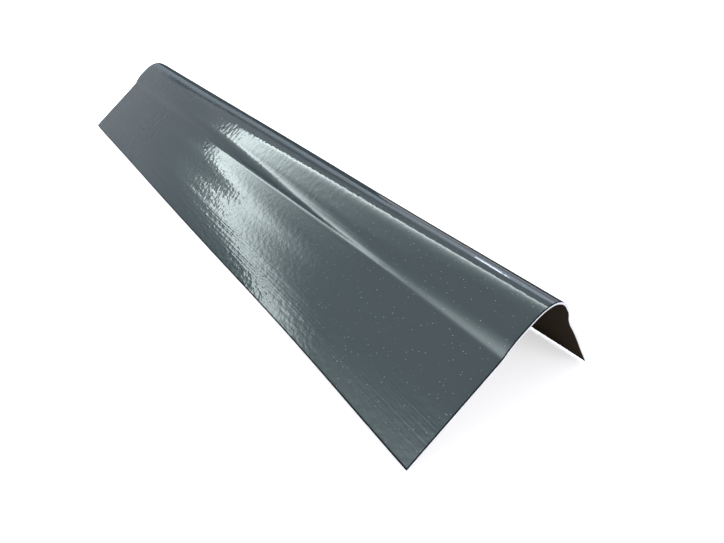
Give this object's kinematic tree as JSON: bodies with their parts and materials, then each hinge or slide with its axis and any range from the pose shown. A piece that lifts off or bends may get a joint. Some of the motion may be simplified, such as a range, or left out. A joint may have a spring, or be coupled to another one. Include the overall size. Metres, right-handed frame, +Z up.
{
  "type": "roof ridge cap",
  "caption": "Straight roof ridge cap of thin glossy sheet: a raised round crown, a short steep step on each side and flat sloping wings that lie on the roof covering.",
  "frame": {"origin": "on the floor, midway between the wing edges and midway along the length", "axes": "+X across the ridge, +Y along the ridge, +Z up through the crown"},
  "size_m": [0.2818, 1, 0.1267],
  "materials": {
    "coated_sheet": "glossy slate-grey coat with a fine pebbled surface; pale cut ends; dark brown uncoated underside"
  },
  "bodies": {
    "root": {"ridge_cap": "coated_sheet"}
  },
  "joints": []
}
